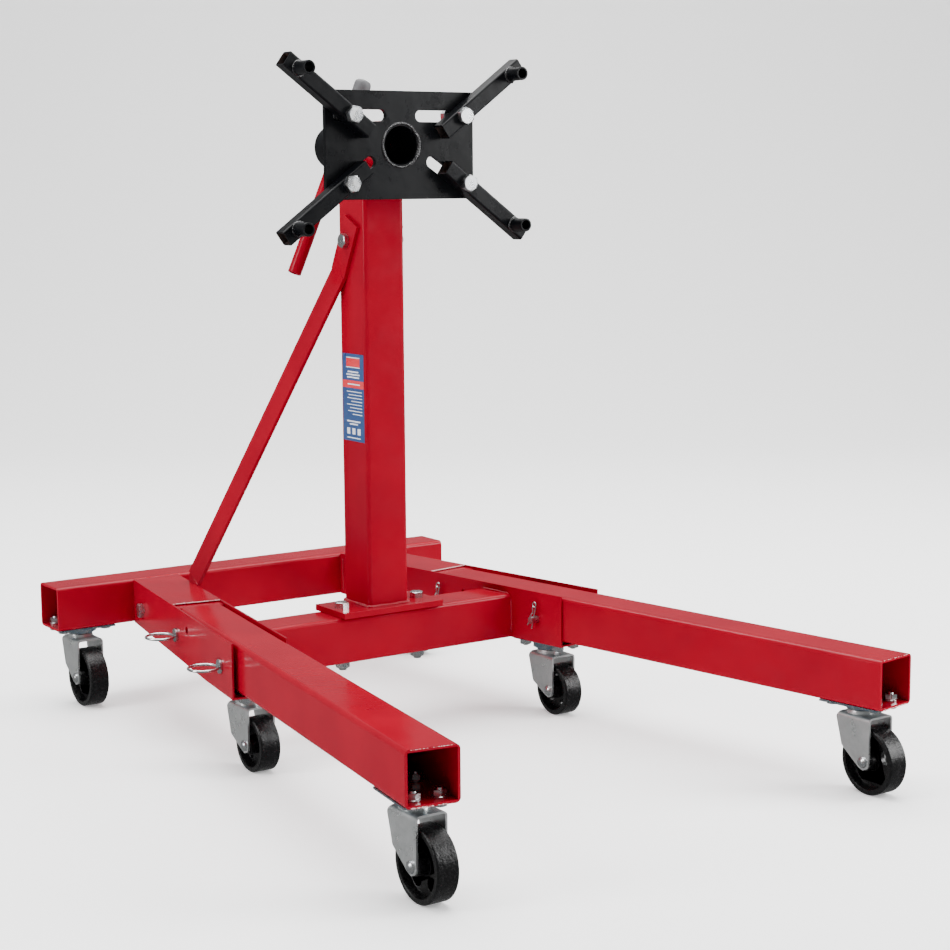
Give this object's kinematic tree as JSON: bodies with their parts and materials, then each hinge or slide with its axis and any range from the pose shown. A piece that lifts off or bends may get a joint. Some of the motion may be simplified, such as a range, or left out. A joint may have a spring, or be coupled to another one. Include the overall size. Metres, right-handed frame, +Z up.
{
  "type": "engine stand",
  "caption": "Folding engine stand with a rotating four-arm head, a braced post, two fold-up legs and six swivel castors.",
  "frame": {"origin": "centre of the stand's footprint, on the floor", "axes": "+X to the right seen from the front, +Y to the back, +Z up; the legs and the mounting plate face -Y"},
  "size_m": [0.8702, 1.2684, 1.0806],
  "materials": {
    "red_paint": "gloss",
    "black_paint": "gloss",
    "zinc_fasteners": "satin",
    "zinc_castor": "satin",
    "cast_iron": "satin",
    "grip_rubber": "matte"
  },
  "bodies": {
    "base": {"rear_cross_tube": "red_paint", "left_side_channel": "red_paint", "right_side_channel": "red_paint", "front_cross_tube": "red_paint", "post_tube": "red_paint", "post_base_plate": "red_paint", "head_housing": "red_paint", "left_brace": "red_paint", "right_brace": "red_paint", "base_bolts": "zinc_fasteners", "base_nuts": "zinc_fasteners", "brace_bolts": "zinc_fasteners", "brace_nuts": "zinc_fasteners", "pivot_pins": "zinc_fasteners", "lock_pins": "zinc_fasteners", "pin_clips": "zinc_fasteners", "frame_castor_plates": "zinc_castor", "frame_castor_bolts": "zinc_fasteners"},
    "head": {"head_plate": "black_paint", "head_tube": "black_paint", "head_collar": "black_paint"},
    "index_pin": {"index_pin": "zinc_fasteners"},
    "handle": {"handle_bar": "red_paint", "handle_grip": "grip_rubber"},
    "arm_bolt_top_left": {"arm_bolt_top_left": "zinc_fasteners"},
    "arm_top_left": {"arm_top_left": "black_paint", "sleeve_top_left": "black_paint"},
    "arm_bolt_top_right": {"arm_bolt_top_right": "zinc_fasteners"},
    "arm_top_right": {"arm_top_right": "black_paint", "sleeve_top_right": "black_paint"},
    "arm_bolt_bottom_left": {"arm_bolt_bottom_left": "zinc_fasteners"},
    "arm_bottom_left": {"arm_bottom_left": "black_paint", "sleeve_bottom_left": "black_paint"},
    "arm_bolt_bottom_right": {"arm_bolt_bottom_right": "zinc_fasteners"},
    "arm_bottom_right": {"arm_bottom_right": "black_paint", "sleeve_bottom_right": "black_paint"},
    "left_leg": {"left_leg_tube": "red_paint", "left_leg_castor_plate": "zinc_castor", "left_leg_castor_bolts": "zinc_fasteners"},
    "right_leg": {"right_leg_tube": "red_paint", "right_leg_castor_plate": "zinc_castor", "right_leg_castor_bolts": "zinc_fasteners"},
    "rear_left_castor": {"rear_left_fork": "zinc_castor", "rear_left_axle": "zinc_fasteners"},
    "rear_left_wheel": {"rear_left_wheel": "cast_iron"},
    "rear_right_castor": {"rear_right_fork": "zinc_castor", "rear_right_axle": "zinc_fasteners"},
    "rear_right_wheel": {"rear_right_wheel": "cast_iron"},
    "mid_left_castor": {"mid_left_fork": "zinc_castor", "mid_left_axle": "zinc_fasteners"},
    "mid_left_wheel": {"mid_left_wheel": "cast_iron"},
    "mid_right_castor": {"mid_right_fork": "zinc_castor", "mid_right_axle": "zinc_fasteners"},
    "mid_right_wheel": {"mid_right_wheel": "cast_iron"},
    "front_left_castor": {"front_left_fork": "zinc_castor", "front_left_axle": "zinc_fasteners"},
    "front_left_wheel": {"front_left_wheel": "cast_iron"},
    "front_right_castor": {"front_right_fork": "zinc_castor", "front_right_axle": "zinc_fasteners"},
    "front_right_wheel": {"front_right_wheel": "cast_iron"}
  },
  "joints": [
    {"name": "head_turn", "type": "hinge", "parent": "base", "child": "head", "pos_m": [0, 0.06923, 0.945], "axis": [0, 1, 0], "continuous": true},
    {"name": "index_pin_push", "type": "slide", "parent": "base", "child": "index_pin", "axis": [-1, 0, 0], "range_m": [0, 0.0195]},
    {"name": "handle_slide", "type": "slide", "parent": "head", "child": "handle", "axis": [0.4067, 0, 0.9135], "range_m": [0, 0.17]},
    {"name": "arm_top_left_slide", "type": "slide", "parent": "head", "child": "arm_bolt_top_left", "axis": [-1, 0, 0], "range_m": [-0.03, 0.008]},
    {"name": "arm_top_left_swing", "type": "hinge", "parent": "arm_bolt_top_left", "child": "arm_top_left", "pos_m": [-0.101, 0.05673, 0.99], "axis": [0, -1, 0], "range_deg": [-25, 25]},
    {"name": "arm_top_right_slide", "type": "slide", "parent": "head", "child": "arm_bolt_top_right", "axis": [1, 0, 0], "range_m": [-0.03, 0.008]},
    {"name": "arm_top_right_swing", "type": "hinge", "parent": "arm_bolt_top_right", "child": "arm_top_right", "pos_m": [0.101, 0.05673, 0.99], "axis": [0, -1, 0], "range_deg": [-25, 25]},
    {"name": "arm_bottom_left_slide", "type": "slide", "parent": "head", "child": "arm_bolt_bottom_left", "axis": [-0.8403, 0, -0.5421], "range_m": [-0.03, 0.008]},
    {"name": "arm_bottom_left_swing", "type": "hinge", "parent": "arm_bolt_bottom_left", "child": "arm_bottom_left", "pos_m": [-0.107, 0.05673, 0.8861], "axis": [0, -1, 0], "range_deg": [-25, 25]},
    {"name": "arm_bottom_right_slide", "type": "slide", "parent": "head", "child": "arm_bolt_bottom_right", "axis": [0.8403, 0, -0.5421], "range_m": [-0.03, 0.008]},
    {"name": "arm_bottom_right_swing", "type": "hinge", "parent": "arm_bolt_bottom_right", "child": "arm_bottom_right", "pos_m": [0.107, 0.05673, 0.8861], "axis": [0, -1, 0], "range_deg": [-25, 25]},
    {"name": "left_leg_fold", "type": "hinge", "parent": "base", "child": "left_leg", "pos_m": [-0.25053, 0.29665, 0.165], "axis": [-0.9871, 0.1599, 0], "range_deg": [0, 56]},
    {"name": "right_leg_fold", "type": "hinge", "parent": "base", "child": "right_leg", "pos_m": [0.25053, 0.29665, 0.165], "axis": [-0.9871, -0.1599, 0], "range_deg": [0, 56]},
    {"name": "rear_left_swivel", "type": "hinge", "parent": "base", "child": "rear_left_castor", "pos_m": [-0.335, 0.59673, 0.114], "axis": [0, 0, 1], "continuous": true},
    {"name": "rear_left_roll", "type": "hinge", "parent": "rear_left_castor", "child": "rear_left_wheel", "pos_m": [-0.335, 0.56873, 0.05], "axis": [1, 0, 0], "continuous": true},
    {"name": "rear_right_swivel", "type": "hinge", "parent": "base", "child": "rear_right_castor", "pos_m": [0.335, 0.59673, 0.114], "axis": [0, 0, 1], "continuous": true},
    {"name": "rear_right_roll", "type": "hinge", "parent": "rear_right_castor", "child": "rear_right_wheel", "pos_m": [0.335, 0.56873, 0.05], "axis": [1, 0, 0], "continuous": true},
    {"name": "mid_left_swivel", "type": "hinge", "parent": "base", "child": "mid_left_castor", "pos_m": [-0.28666, 0.07356, 0.099], "axis": [0, 0, 1], "continuous": true},
    {"name": "mid_left_roll", "type": "hinge", "parent": "mid_left_castor", "child": "mid_left_wheel", "pos_m": [-0.28666, 0.04556, 0.0425], "axis": [1, 0, 0], "continuous": true},
    {"name": "mid_right_swivel", "type": "hinge", "parent": "base", "child": "mid_right_castor", "pos_m": [0.28666, 0.07356, 0.099], "axis": [0, 0, 1], "continuous": true},
    {"name": "mid_right_roll", "type": "hinge", "parent": "mid_right_castor", "child": "mid_right_wheel", "pos_m": [0.28666, 0.04556, 0.0425], "axis": [1, 0, 0], "continuous": true},
    {"name": "front_left_swivel", "type": "hinge", "parent": "left_leg", "child": "front_left_castor", "pos_m": [-0.38867, -0.55623, 0.114], "axis": [0, 0, 1], "continuous": true},
    {"name": "front_left_roll", "type": "hinge", "parent": "front_left_castor", "child": "front_left_wheel", "pos_m": [-0.38867, -0.58423, 0.05], "axis": [1, 0, 0], "continuous": true},
    {"name": "front_right_swivel", "type": "hinge", "parent": "right_leg", "child": "front_right_castor", "pos_m": [0.38867, -0.55623, 0.114], "axis": [0, 0, 1], "continuous": true},
    {"name": "front_right_roll", "type": "hinge", "parent": "front_right_castor", "child": "front_right_wheel", "pos_m": [0.38867, -0.58423, 0.05], "axis": [1, 0, 0], "continuous": true}
  ]
}
